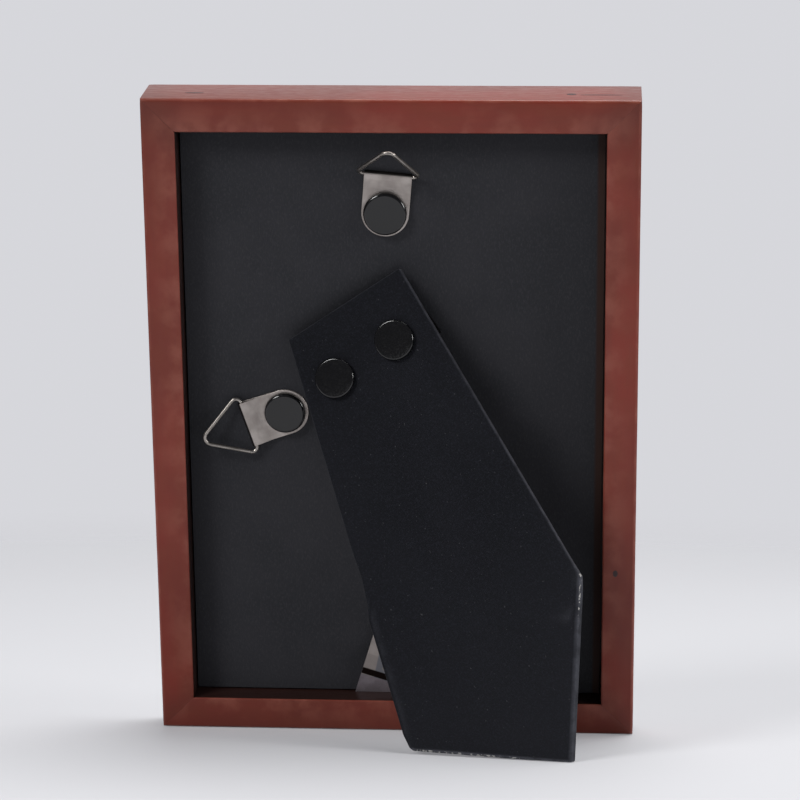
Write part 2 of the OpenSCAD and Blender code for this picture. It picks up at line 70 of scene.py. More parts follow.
COIN_T, WINDOW_LAP = 2.4, 0.8
COINS = {
    "centre_coin": (0.0, 0.0, 19.05),
    "upper_left_coin": (-31.0, 52.0, 12.15),
    "upper_right_coin": (31.0, 52.0, 12.15),
    "lower_left_coin": (-32.0, -50.0, 15.3),
    "lower_right_coin": (32.0, -50.0, 15.3),
}
GLASS_FRONT = LIP_T - FRAME_D
MAT_FRONT = GLASS_FRONT + GLASS_T
CARRIER_FRONT = MAT_FRONT + MAT_T


# ---- Places: rigid matrices in metres ----

def move(x=0.0, y=0.0, z=0.0):
    """A shift given in millimetres."""
    return Matrix.Translation(Vector((x, y, z)) * MM)


def turn(degrees, axis):
    """A rotation about an axis through the origin."""
    return Matrix.Rotation(math.radians(degrees), 4, axis)


def axes(x, y, z):
    """A turn that takes the axes to these three directions."""
    return Matrix((x, y, z)).transposed().to_4x4()


def leaning_frame():
    """x across, y rearwards from the rear face, z up along the leaning frame."""
    swivel = next(j for j in frame["joints"] if j["name"] == "top_hanger_swivel")
    across, rear = Vector((1, 0, 0)), Vector(swivel["axis"])
    at = Matrix.Translation(Vector(swivel["pos_m"]))
    return at @ axes(across, rear, across.cross(rear)) @ move(
        -TOP_RIVET[0], RECESS - SWIVEL_H, -TOP_RIVET[1])


STAND = leaning_frame()
SLOPE_SIN, SLOPE_COS = math.sin(math.radians(HINGE_SLOPE)), math.cos(math.radians(HINGE_SLOPE))
ALONG = Vector((SLOPE_COS, 0, -SLOPE_SIN))
DOWN = Vector((-SLOPE_SIN, 0, -SLOPE_COS))
# x along the hinge axis, y down the backboard, z out of it
HINGE = STAND @ move(HINGE_X, HINGE_H - RECESS, HINGE_Z) @ axes(ALONG, DOWN, Vector((0, 1, 0)))
STRUT = HINGE @ turn(STRUT_OPEN, "X")


def on_backboard(place, swing=0.0):
    """x and y in the backboard's plane with y up, z out of the backboard."""
    flat = axes(Vector((-1, 0, 0)), Vector((0, 0, 1)), Vector((0, 1, 0)))
    return STAND @ move(place[0], -RECESS, place[1]) @ flat @ turn(swing, "Z")


# ---- Camera ----

def camera(eye, heading, pitch, roll, lens):
    """heading is its direction over the floor. pitch, down, and roll, clockwise, are in degrees."""
    data = bpy.data.cameras.new("view_camera")
    data.lens = lens
    data.sensor_width = 36
    data.clip_start = 0.05
    data.clip_end = 50
    found = bpy.data.objects.new("view_camera", data)
    bpy.context.scene.collection.objects.link(found)
    tilt = math.radians(pitch)
    level = Vector((heading[0], heading[1], 0)).normalized()
    ahead = level * math.cos(tilt) - Vector((0, 0, math.sin(tilt)))
    right = ahead.cross(Vector((0, 0, 1))).normalized()
    up = right.cross(ahead)
    found.matrix_world = Matrix.Translation(eye) @ axes(right, up, -ahead) @ turn(roll, "Z")
    bpy.context.scene.camera = found


camera(eye=Vector((-0.0624, 0.9301, 0.1430)), heading=(0.0654, -0.9979), pitch=2.27, roll=0.467,
       lens=135)


# ---- Materials ----

OWN_SPACE = "own_space"
MIX_COLOUR_A, MIX_COLOUR_B, MIX_COLOUR_OUT = 6, 7, 2     # a Mix node's sockets for colours


class Shade:
    """A Principled material. Its textures are in millimetres of the piece's space or the row's."""

    def __init__(self, name, colour, own=True, **values):
        self.own = own
        self.material = bpy.data.materials.new(name)
        self.material.use_nodes = True
        self.tree = self.material.node_tree
        self.shader = self.tree.nodes["Principled BSDF"]
        self.shader.inputs["Base Color"].default_value = (*colour, 1)
        for key, value in values.items():
            socket = key.replace("_", " ").title().replace("Ior", "IOR")
            self.shader.inputs[socket].default_value = value

    def node(self, kind, **inputs):
        """A new node with these inputs: values, or other nodes' outputs."""
        made = self.tree.nodes.new(kind)
        for socket, value in inputs.items():
            self.feed(made.inputs[socket.replace("_", " ")], value)
        return made

    def feed(self, socket, value):
        if isinstance(value, bpy.types.NodeSocket):
            self.tree.links.new(value, socket)
        else:
            socket.default_value = value

    def attribute(self, name, output):
        """What is stored on the mesh under that name."""
        made = self.tree.nodes.new("ShaderNodeAttribute")
        made.attribute_name = name
        return made.outputs[output]

    def space(self, stretch=(1, 1, 1)):
        """Where a point lies, in millimetres, for a texture."""
        if self.own:
            return self.node("ShaderNodeMapping", Vector=self.attribute(OWN_SPACE, "Vector"),
                             Scale=stretch).outputs["Vector"]
        place = self.node("ShaderNodeTexCoord").outputs["Object"]
        return self.node("ShaderNodeMapping", Vector=place,
                         Scale=[s / MM for s in stretch]).outputs["Vector"]

    def noise(self, scale, stretch=(1, 1, 1), detail=4.0, roughness=0.55, distortion=0.0):
        made = self.node("ShaderNodeTexNoise", Vector=self.space(stretch), Scale=scale,
                         Detail=detail, Roughness=roughness, Distortion=distortion)
        return made.outputs["Fac"]

    def cells(self, scale, stretch=(1, 1, 1)):
        made = self.node("ShaderNodeTexVoronoi", Vector=self.space(stretch), Scale=scale)
        return made.outputs["Distance"]

    def down_piece(self):
        """y in the piece's own space."""
        place = self.attribute(OWN_SPACE, "Vector")
        return self.node("ShaderNodeSeparateXYZ", Vector=place).outputs["Y"]

    def across(self, direction):
        """How far a CAD node's point lies that way, in millimetres of the leaning frame's place."""
        leaning = STAND.to_3x3() @ Vector(direction)
        away = self.node("ShaderNodeVectorMath")
        away.operation = "DOT_PRODUCT"
        self.feed(away.inputs[0], self.node("ShaderNodeTexCoord").outputs["Object"])
        self.feed(away.inputs[1], leaning / MM)
        return self.math("SUBTRACT", away.outputs["Value"], leaning.dot(STAND.translation) / MM)

    def span(self, value, low, high, to_low=0.0, to_high=1.0):
        """Maps low..high to to_low..to_high, clamped."""
        made = self.node("ShaderNodeMapRange", Value=value)
        made.interpolation_type = "SMOOTHSTEP"
        for socket, number in (("From Min", low), ("From Max", high), ("To Min", to_low),
                               ("To Max", to_high)):
            made.inputs[socket].default_value = number
        return made.outputs["Result"]

    def math(self, operation, a, b):
        made = self.tree.nodes.new("ShaderNodeMath")
        made.operation = operation
        self.feed(made.inputs[0], a)
        self.feed(made.inputs[1], b)
        return made.outputs["Value"]

    def mix(self, share, a, b):
        """A colour between a and b."""
        made = self.tree.nodes.new("ShaderNodeMix")
        made.data_type = "RGBA"
        self.feed(made.inputs["Factor"], share)
        for socket, end in ((MIX_COLOUR_A, a), (MIX_COLOUR_B, b)):
            self.feed(made.inputs[socket], (*end, 1) if isinstance(end, tuple) else end)
        return made.outputs[MIX_COLOUR_OUT]

    def painted(self, name):
        """A value that paint() stored on the mesh."""
        return self.attribute(name, "Fac")

    def colour(self, value):
        self.feed(self.shader.inputs["Base Color"], value)

    def roughness(self, value):
        self.feed(self.shader.inputs["Roughness"], value)

    def bump(self, height, depth):
        """depth is the relief's height in millimetres."""
        made = self.node("ShaderNodeBump", Height=height, Distance=depth * MM)
        self.feed(self.shader.inputs["Normal"], made.outputs["Normal"])


def stained_wood():
    """Red-brown stained hardwood, grain along x, under satin varnish, with painted shade over the
    darker bare wood inside the recess.
    """
    s = Shade("stained_wood", (0.2, 0.06, 0.045), coat_weight=0.25, coat_roughness=0.2,
              specular_ior_level=0.25)
    mottle = s.noise(0.05, (0.4, 1, 1), detail=3, roughness=0.4, distortion=0.3)
    streaks = s.noise(1.0, (0.045, 1, 1), detail=6, roughness=0.6)
    pores = s.noise(4.2, (0.06, 1, 1), detail=3)
    blotch = s.noise(0.2, (0.5, 1, 1), detail=2)
    red = s.mix(s.span(mottle, 0.36, 0.66), (0.158, 0.023, 0.013), (0.214, 0.028, 0.016))
    warm = s.mix(s.span(blotch, 0.35, 0.7, 0, 0.4), red, (0.182, 0.036, 0.016))
    lined = s.mix(s.span(streaks, 0.35, 0.75, 0, 0.15), warm, (0.120, 0.023, 0.017))
    pored = s.mix(s.span(pores, 0.6, 0.75, 0, 0.2), lined, (0.085, 0.018, 0.014))
    # darker at the mitred corners, and painted shade along the whole bottom rail
    shaded = s.mix(s.math("MULTIPLY", s.painted("mitre_and_shade"), 0.4), pored, (0.085, 0.026, 0.018))
    worn = s.math("MULTIPLY", s.painted("arris"), s.span(s.noise(0.12), 0.4, 0.7, 0.1, 0.6))
    outer = s.mix(worn, shaded, (0.30, 0.095, 0.065))
    # inside the recess: painted shade over the darker bare wood
    inner = s.mix(mottle, (0.012, 0.006, 0.005), (0.030, 0.012, 0.010))
    s.colour(s.mix(s.painted("recess"), outer, inner))
    s.roughness(s.span(s.noise(0.7, (0.3, 1, 1)), 0.3, 0.7, 0.30, 0.44))
    relief = s.math("ADD", s.span(streaks, 0.3, 0.8, 0.5, 0), s.span(pores, 0.55, 0.75, 0.5, 0))
    s.bump(relief, 0.012)
    return s.material


def filler():
    """Dark wood filler."""
    s = Shade("wood_filler", (0.10, 0.03, 0.03), roughness=0.5)
    s.colour(s.mix(s.noise(1.5), (0.022, 0.010, 0.012), (0.044, 0.018, 0.018)))
    s.bump(s.noise(3.0), 0.05)
    return s.material


def black_paper():
    """Matt black cover paper, faintly laid and cloudy, with a brown strip down its right edge."""
    strip_from, strip_to = -62.6, -61.6
    s = Shade("black_paper", (0.02, 0.02, 0.022), own=False, specular_ior_level=0.22)
    cloud = s.noise(0.035, detail=5)
    fibre = s.noise(2.2, (1, 1, 0.35), detail=5, roughness=0.7)
    ground = s.mix(s.span(cloud, 0.35, 0.65), (0.0200, 0.0205, 0.0245), (0.0265, 0.0265, 0.031))
    flecked = s.mix(s.span(fibre, 0.45, 0.75, 0, 0.6), ground, (0.046, 0.046, 0.052))
    strip = s.span(s.across((1, 0, 0)), strip_from, strip_to, 1, 0)
    s.colour(s.mix(strip, flecked, (0.034, 0.016, 0.012)))
    s.roughness(s.span(cloud, 0.3, 0.7, 0.58, 0.72))
    s.bump(fibre, 0.03)
    return s.material


def velour_paper():
    """Black suede paper: a short nap, brushed marks, lint, and pale rubbed and chipped edges."""
    s = Shade("velour_paper", (0.01, 0.011, 0.013), roughness=0.9, specular_ior_level=0.1,
              sheen_weight=0.05, sheen_roughness=0.5)
    nap = s.noise(2.2, detail=4, roughness=0.75)
    brushed = s.noise(0.035, (1, 0.5, 1), detail=4, roughness=0.5)
    ground = s.mix(s.span(brushed, 0.35, 0.7), (0.0072, 0.0078, 0.0100), (0.0096, 0.0102, 0.0130))
    # lighter towards the strut's foot
    lighter_to_foot = s.mix(s.span(s.down_piece(), 60, 150, 0, 0.6), ground, (0.0155, 0.0160, 0.0195))
    speckled = s.mix(s.span(nap, 0.45, 0.72, 0, 0.6), lighter_to_foot, (0.023, 0.024, 0.033))
    patchy = s.span(s.noise(0.3, detail=6), 0.3, 0.62, 0.35, 1)
    rubbed = s.math("MULTIPLY", s.painted("rubbed"), patchy)
    edged = s.mix(rubbed, speckled, (0.072, 0.074, 0.088))
    chips = s.span(s.noise(0.8), 0.52, 0.58)
    chipped = s.math("MULTIPLY", s.span(s.painted("rubbed"), 0.8, 0.95), chips)
    lint = s.span(s.noise(1.6, (1, 0.6, 1), detail=2), 0.71, 0.76, 0, 0.55)
    linty = s.mix(lint, edged, (0.085, 0.086, 0.092))
    s.colour(s.mix(chipped, linty, (0.40, 0.39, 0.37)))
    s.bump(nap, 0.06)
    return s.material


def black_enamel():
    """Glossy black enamel with fine scuffs."""
    s = Shade("black_enamel", (0.006, 0.006, 0.007), specular_ior_level=0.5, coat_weight=0.2,
              coat_roughness=0.06)
    scuff = s.noise(1.4, detail=6, roughness=0.7)
    scuffed = s.span(scuff, 0.55, 0.75, 0, 0.5)
    s.colour(s.mix(scuffed, (0.003, 0.003, 0.0035), (0.009, 0.009, 0.010)))
    s.roughness(s.span(scuff, 0.3, 0.75, 0.10, 0.24))
    s.bump(s.noise(0.5, detail=2), 0.006)
    return s.material


def plated_steel(name, light, dark, roughness, own=True, painted_shade_from=None):
    """Nickel plating with rolling marks and cloudy tarnish, and painted shade past a given y, where
    the colour turns near-black.
    """
    s = Shade(name, light, own, metallic=1.0)
    tarnish = s.noise(0.22, detail=5, roughness=0.5)
    rolled = s.noise(3.0, (0.08, 1, 1), detail=4)
    plated = s.mix(s.span(tarnish, 0.36, 0.68), dark, light)
    # past that y the colour is painted shade: near-black on the hanger plates' sleeve tops, under
    # the dark frame above
    if painted_shade_from:
        past = s.span(s.down_piece(), painted_shade_from, painted_shade_from + 0.4)
        plated = s.mix(past, plated, (0.03, 0.027, 0.026))
    s.colour(plated)
    cloudy = s.span(tarnish, 0.3, 0.7, roughness + 0.12, roughness)
    s.roughness(s.math("ADD", cloudy, s.span(rolled, 0.4, 0.7, 0, 0.08)))
    s.bump(rolled, 0.012)
    return s.material


def strap_with_painted_shade():
    """The stay's strap: plated steel, with a near-black band of painted shadow across its stepped
    lower end and a cooler, darker painted shade on its right part.
    """
    s = Shade("strap_with_painted_shade", (0.45, 0.41, 0.385), own=False, metallic=1.0)
    tarnish = s.noise(0.3, detail=5, roughness=0.5)
    warm = s.mix(tarnish, (0.40, 0.355, 0.335), (0.54, 0.485, 0.455))
    # painted shade: cooler and darker beyond this line, where the strut's edge shades the strap
    strut_edge_shade = s.mix(s.span(s.across((1, 0, 0.217)), 10.7, 11.2, 1, 0), warm, (0.27, 0.275, 0.30))
    # painted shadow: a near-black band across the strap's stepped lower end
    step = s.across((-0.301, 0, 0.954))
    band = s.math("MULTIPLY", s.span(step, 12.8, 13.1), s.span(step, 14.9, 15.3, 1, 0))
    s.colour(s.mix(band, strut_edge_shade, (0.014, 0.009, 0.008)))
    s.roughness(s.math("ADD", s.span(tarnish, 0.3, 0.7, 0.42, 0.34), s.math("MULTIPLY", band, 0.3)))
    s.bump(s.noise(3.0, (0.08, 1, 1), detail=4), 0.012)
    return s.material


def mat_paper():
    """Dark blue mat paper with a fine tooth."""
    s = Shade("mat_paper", (0.02, 0.03, 0.09), roughness=0.85)
    tooth = s.noise(1.6, detail=6, roughness=0.7)
    s.colour(s.mix(tooth, (0.012, 0.020, 0.065), (0.028, 0.040, 0.110)))
    s.bump(tooth, 0.08)
    return s.material


def mat_core():
    """The mat's pale layered core, which shows in its bevels."""
    s = Shade("mat_core", (0.75, 0.73, 0.68), roughness=0.9)
    ply = s.noise(1.2, (0.2, 1, 0.2), detail=3)
    s.colour(s.mix(ply, (0.66, 0.63, 0.57), (0.82, 0.80, 0.75)))
    s.bump(ply, 0.03)
    return s.material


def carrier_foam():
    """Black closed-cell foam that holds the coins."""
    s = Shade("carrier_foam", (0.012, 0.012, 0.013), own=False, roughness=0.95)
    grains = s.cells(2.6)
    s.colour(s.mix(grains, (0.018, 0.018, 0.020), (0.008, 0.008, 0.009)))
    s.bump(grains, 0.1)
    return s.material


def board(name, light, dark, own=False):
    """Pressed fibre or card: flecked, with a soft surface."""
    s = Shade(name, light, own, roughness=0.85)
    flecks = s.noise(1.8, (1, 1, 0.4), detail=6, roughness=0.7)
    s.colour(s.mix(s.span(flecks, 0.35, 0.7), dark, light))
    s.bump(flecks, 0.06)
    return s.material


def coin_metal(name, light, dark):
    """Struck metal: bright where it is raised and toned where it is low."""
    s = Shade(name, light, metallic=1.0)
    cloudy = s.span(s.noise(0.5, detail=5), 0.3, 0.7, 0.45, 1.0)
    toned = s.math("MULTIPLY", s.painted("low"), cloudy)
    s.colour(s.mix(toned, light, dark))
    s.roughness(s.math("ADD", s.span(s.noise(1.5, detail=4), 0.3, 0.7, 0.16, 0.26),
                       s.math("MULTIPLY", toned, 0.22)))
    s.bump(s.noise(6.0, detail=3), 0.006)
    return s.material


def clear_glass():
    """Float glass that lets the lamps through to the coins."""
    s = Shade("clear_glass", (0.97, 0.99, 0.98), own=False, transmission_weight=1.0, ior=1.5)
    s.roughness(s.span(s.noise(0.08, detail=4), 0.4, 0.8, 0.0, 0.03))
    lamp = s.tree.nodes.new("ShaderNodeLightPath").outputs["Is Shadow Ray"]
    clear = s.tree.nodes.new("ShaderNodeBsdfTransparent")
    both = s.tree.nodes.new("ShaderNodeMixShader")
    s.feed(both.inputs[0], lamp)
    s.feed(both.inputs[1], s.shader.outputs[0])
    s.feed(both.inputs[2], clear.outputs[0])
    s.feed(s.tree.nodes["Material Output"].inputs["Surface"], both.outputs[0])
    return s.material


WOOD = stained_wood()
FILLER = filler()
PAPER = black_paper()
VELOUR = velour_paper()
ENAMEL = black_enamel()
# the hanger plates turn near-black past the sleeve's middle: painted shade
NICKEL = plated_steel("antique_nickel", (0.50, 0.455, 0.425), (0.40, 0.36, 0.335), 0.40,
                      painted_shade_from=SLEEVE_REACH + 0.2)
WIRE = plated_steel("ring_nickel", (0.50, 0.465, 0.43), (0.30, 0.275, 0.25), 0.24)
STEEL = plated_steel("hinge_nickel", (0.37, 0.35, 0.335), (0.22, 0.21, 0.20), 0.40, own=False)
PLATE = plated_steel("stay_plate_nickel", (0.41, 0.365, 0.395), (0.30, 0.265, 0.285), 0.40,
                     own=False)
# near-black steel for the fixed hinge leaf: painted shade, so that it sinks into the strut's shadow
SHADE_BLACK_STEEL = plated_steel("shade_black_steel", (0.035, 0.034, 0.034), (0.018, 0.018, 0.018), 0.45,
                       own=False)
STRAP = strap_with_painted_shade()
BRAD = plated_steel("brad_steel", (0.55, 0.55, 0.56), (0.35, 0.34, 0.34), 0.30, own=False)
MAT = mat_paper()
CORE = mat_core()
FOAM = carrier_foam()
FIBRE_COLOURS = (0.30, 0.20, 0.12), (0.17, 0.105, 0.06)
FIBRE = board("fibreboard", *FIBRE_COLOURS)
STRUT_CORE = board("strut_core", *FIBRE_COLOURS, own=True)
CARD = board("grey_card", (0.55, 0.50, 0.42), (0.38, 0.34, 0.28))
SILVER = coin_metal("coin_silver", (0.80, 0.78, 0.74), (0.24, 0.22, 0.20))
BRONZE = coin_metal("coin_bronze", (0.72, 0.50, 0.30), (0.20, 0.11, 0.06))
GLASS = clear_glass()

NODE_MATERIALS = {
    BRAD: ("corner_brads",),
    GLASS: ("glass_pane",),
    FOAM: ("coin_carrier",),
    CARD: ("backing_card",),
    FIBRE: ("backboard",),
    PAPER: ("backboard_cover",),
    # painted shade: the fixed hinge leaf is coloured near-black
    SHADE_BLACK_STEEL: ("hinge_fixed_leaf",),
    STRAP: ("stay_base_strap",),
    PLATE: ("stay_foot_plate",),
    STEEL: ("hinge_leaf_rivets", "hinge_pin", "hinge_moving_leaf", "stay_base_rivets",
            "stay_pivot_pin", "stay_leaf", "stay_cross_pin", "stay_keeper", "stay_keeper_rivets"),
}
for material, names in NODE_MATERIALS.items():
    for name in names:
        for slot in frame["nodes"][name].material_slots:
            slot.material = material


# ---- Mesh helpers: shapes are drawn in millimetres of the piece's own place ----

def keep_own_space(made, place):
    """Stores where each vertex lies in its piece's own place, in millimetres, for the textures."""
    back = Matrix.Scale(1 / MM, 4) @ place.inverted()
    attributes = made.data.attributes
    layer = attributes.get(OWN_SPACE) or attributes.new(OWN_SPACE, "FLOAT_VECTOR", "POINT")
    layer.data.foreach_set("vector", [c for v in made.data.vertices for c in back @ v.co])


def piece(name, bm, place, body, material, replaces=(), smooth=35.0):
    """Makes the object, in metres, and ties it to its body and the CAD nodes that it replaces."""
    bm.transform(place @ Matrix.Scale(MM, 4))
    mesh = bpy.data.meshes.new(name)
    bm.to_mesh(mesh)
    bm.free()
    for each in material if isinstance(material, tuple) else (material,):
        mesh.materials.append(each)
    made = bpy.data.objects.new(name, mesh)
    bpy.context.scene.collection.objects.link(made)
    keep_own_space(made, place)
    mesh.shade_smooth()
    mesh.set_sharp_from_angle(angle=math.radians(smooth))
    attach(made, body)
    if replaces:
        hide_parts(*replaces)
    return made


def apply_modifier(made, kind, **settings):
    """Adds a modifier with these settings and applies it to the mesh."""
    modifier = made.modifiers.new(kind.lower(), kind)
    for key, value in settings.items():
        setattr(modifier, key, value)
    with bpy.context.temp_override(object=made, active_object=made):
        bpy.ops.object.modifier_apply(modifier=modifier.name)


def arc(centre, radius, start, end, steps):
    """Points on an arc, from start to end degrees."""
    found = []
    for i in range(steps + 1):
        a = math.radians(start + (end - start) * i / steps)
        found.append(Vector((centre[0] + radius * math.cos(a), centre[1] + radius * math.sin(a))))
    return found


def bridge(bm, ring, following):
    """Quads between two rings of vertices."""
    for i in range(len(ring)):
        after = (i + 1) % len(ring)
        bm.faces.new((ring[i], ring[after], following[after], following[i]))


def loft(bm, sections, closed=False):
    """Joins rings of points into a skin: capped at both ends, or closed into a loop."""
    rings = [[bm.verts.new(p) for p in section] for section in sections]
    for ring, following in zip(rings, rings[1:]):
        bridge(bm, ring, following)
    if closed:
        bridge(bm, rings[-1], rings[0])
    else:
        bm.faces.new(reversed(rings[0]))
        bm.faces.new(rings[-1])
    bmesh.ops.recalc_face_normals(bm, faces=bm.faces)


def lathe(bm, profile, steps=96):
    """Turns (radius, height) points about z. Points at radius 0 become poles."""
    rings = []
    for r, z in profile:
        if r == 0:
            rings.append([bm.verts.new((0, 0, z))])
        else:
            rings.append([bm.verts.new((r * math.cos(2 * math.pi * i / steps),
                                        r * math.sin(2 * math.pi * i / steps), z))
                          for i in range(steps)])
    for ring, following in zip(rings, rings[1:]):
        if len(ring) == 1 or len(following) == 1:
            pole, around = (ring, following) if len(ring) == 1 else (following, ring)
            for i in range(steps):
                bm.faces.new((pole[0], around[i], around[(i + 1) % steps]))
        else:
            bridge(bm, ring, following)
    bmesh.ops.recalc_face_normals(bm, faces=bm.faces)


def rounded_path(points, radii, steps=10):
    """A closed polyline in three dimensions with each corner replaced by an arc."""
    path = []
    for i in range(len(points)):
        before, corner = Vector(points[i - 1]), Vector(points[i])
        after = Vector(points[(i + 1) % len(points)])
        back, ahead = (before - corner).normalized(), (after - corner).normalized()
        half = back.angle(ahead) / 2
        reach = radii[i] / math.tan(half)
        centre = corner + (back + ahead).normalized() * radii[i] / math.sin(half)
        first = (corner + back * reach - centre).normalized()
        last = (corner + ahead * reach - centre).normalized()
        for k in range(steps + 1):
            path.append(centre + first.slerp(last, k / steps) * radii[i])
    return path


def tube(bm, path, radius, steps=16):
    """A round wire along a closed path."""
    sections = []
    side = None
    for i, point in enumerate(path):
        along = (path[(i + 1) % len(path)] - path[i - 1]).normalized()
        side = along.orthogonal() if side is None else side - along * side.dot(along)
        side.normalize()
        other = along.cross(side)
        sections.append([point + (side * math.cos(2 * math.pi * k / steps)
                                  + other * math.sin(2 * math.pi * k / steps)) * radius
                         for k in range(steps)])
    loft(bm, sections, closed=True)


def paint(made, name, value):
    """Stores value(vertex position in the piece's own place) on the mesh."""
    values = [value(Vector(p.vector)) for p in made.data.attributes[OWN_SPACE].data]
    made.data.attributes.new(name, "FLOAT", "POINT").data.foreach_set("value", values)


def smoothstep(low, high, x):
    """Rises smoothly from 0 at low to 1 at high."""
    t = min(1.0, max(0.0, (x - low) / (high - low)))
    return t * t * (3 - 2 * t)


# ---- Wooden frame ----

def rail_profile(inset):
    """(depth, distance from the rail's outer edge), drawn in by inset, with eased arrises."""
    r = ARRIS_R - inset
    low, rear, front = inset, -inset, inset - FRAME_D
    points = arc((rear - r, low + r), r, 0, -90, 6)
    points += arc((front + r, low + r), r, -90, -180, 6)
    points += arc((front + r, RAIL_W + LIP_W - inset - r), r, 180, 90, 6)
    points += [Vector((LIP_T - FRAME_D - inset, RAIL_W + LIP_W - inset)),
               Vector((LIP_T - FRAME_D - inset, RAIL_W - inset))]
    points += arc((rear - r / 2, RAIL_W - inset - r / 2), r / 2, 90, 0, 5)
    return points


def rail(name, length, place, seed):
    """A mitred rail: x along it, y rearwards, z in from its outer edge."""
    seam, seam_inset, seam_gap, waviness, cuts = 0.22, 0.066, 0.03, 0.05, 60
    # each rail's own space starts somewhere else, so that their grains differ
    start = Vector((seed * 400, seed * 37, 0))
    half = length / 2
    bm = bmesh.new()
    sections = []
    for share in (i / cuts for i in range(-cuts, cuts + 1)):
        at_end = abs(share) == 1
        reach = share * (1 if at_end else 1 - seam / half)
        sections.append([((half - p.y - seam_gap) * reach, p.x, p.y)
                         for p in rail_profile(seam_inset if at_end else 0.0)])
    loft(bm, sections)
    for v in bm.verts:
        wave = noise.noise_vector(Vector((v.co.x * 0.03, v.co.y * 0.15, v.co.z * 0.15 + seed * 9)))
        # the outer faces only sink, so the rail stays inside its CAD size
        deep = -abs(wave.y) if v.co.y > -FRAME_D / 2 else abs(wave.y)
        v.co += Vector((0, deep, wave.z if v.co.z > ARRIS_R else abs(wave.z))) * waviness
        v.co += start
    made = piece(name + "_wood", bm, place @ move(*-start), "frame", WOOD, (name,), 32)

    def arris(co):
        co = co - start
        near = min(math.hypot(co.y, co.z), math.hypot(co.y + FRAME_D, co.z),
                   math.hypot(co.y, co.z - RAIL_W))
        return 1 - smoothstep(0.5, 1.1, near)

    def mitre_and_shade(co):
        co = co - start
        near = 1 - smoothstep(0.0, 14.0, half - co.z - abs(co.x))
        # the bottom rail is darkened all along: painted shade
        return max(near, 0.8 if name == "bottom_rail" else 0)

    # marks the recess walls, which get painted shade
    def recess(co):
        co = co - start
        return 1.0 if co.z > RAIL_W - 0.1 and co.y < -0.4 else 0.0

    paint(made, "recess", recess)
    paint(made, "arris", arris)
    paint(made, "mitre_and_shade", mitre_and_shade)


rail("bottom_rail", FRAME_W, STAND, 0)
rail("top_rail", FRAME_W, STAND @ move(z=FRAME_H) @ turn(180, "Y"), 1)
rail("left_stile", FRAME_H, STAND @ move(x=-FRAME_W / 2, z=FRAME_H / 2) @ turn(90, "Y"), 2)
rail("right_stile", FRAME_H, STAND @ move(x=FRAME_W / 2, z=FRAME_H / 2) @ turn(-90, "Y"), 3)


def filler_spots():
    """Small oval plugs of filler over the brads, and a dark bruise on one stile."""
    bm = bmesh.new()
    turns = [2 * math.pi * i / 24 for i in range(24)]
    for x, y, long, wide in (
            (59.5, -8.5, 3.2, 0.6), (-54.0, -8.6, 1.6, 1.0), (-63.0, -7.8, 7.0, 0.45)):
        loft(bm, [[(x + long * share * math.cos(a), y + wide * share * math.sin(a),
                    FRAME_H + height) for a in turns]
                  for share, height in ((1.0, -0.15), (0.9, 0.03), (0.5, 0.05))])
    x, z, wide, long = -68.8, 54.8, 0.85, 1.25
    loft(bm, [[(x + wide * share * math.cos(a), height, z + long * share * math.sin(a))
               for a in turns]
              for share, height in ((1.0, -0.15), (0.85, 0.03), (0.4, 0.05))])
    piece("filler_spots", bm, STAND, "frame", FILLER)


filler_spots()


# ---- Strut ----

def strut_corners():
    """Clockwise from the hinge's left end, with x along the hinge and y down the strut."""
    side = Vector((-STRUT_W, STRUT_SIDE))
    tip = side + SIDE_FOOT * Vector((SLOPE_SIN, SLOPE_COS))
    base = tip + BASE_FOOT * Vector((SLOPE_COS, -SLOPE_SIN))
    return [Vector((0, STRUT_TOP)), Vector((-STRUT_W, STRUT_TOP)), side, tip, base]


def rounded_outline(corners, radii, inset, steps=8, spacing=4.0):
    """The outline drawn in by inset: rounded corners, and evenly spaced points between them."""
    count = len(corners)
    middle = sum(corners, Vector((0, 0))) / count
    lines = []
    for i in range(count):
        a, b = corners[i], corners[(i + 1) % count]
        along = (b - a).normalized()
        inward = Vector((-along.y, along.x))
        if inward.dot(middle - a) < 0:
            inward = -inward
        lines.append((a + inward * inset, along))
    moved = []
    for i in range(count):
        (p, d), (q, e) = lines[i - 1], lines[i]
        t = ((q - p).x * e.y - (q - p).y * e.x) / (d.x * e.y - d.y * e.x)
        moved.append((*(p + d * t), 0))
    path = rounded_path(moved, [max(0.05, r - inset) for r in radii], steps)
    found = []
    for i in range(count):
        bend = [p.xy for p in path[i * (steps + 1):(i + 1) * (steps + 1)]]
        following = path[((i + 1) % count) * (steps + 1)]
        gaps = int((corners[(i + 1) % count] - corners[i]).length / spacing)
        found += bend
        found += [bend[-1].lerp(following.xy, k / gaps) for k in range(1, gaps)]
    return found


def stand_on(made, height):
    """Flattens what would reach below that height, in millimetres above the floor."""
    for v in made.data.vertices:
        v.co.z = max(v.co.z, height * MM)


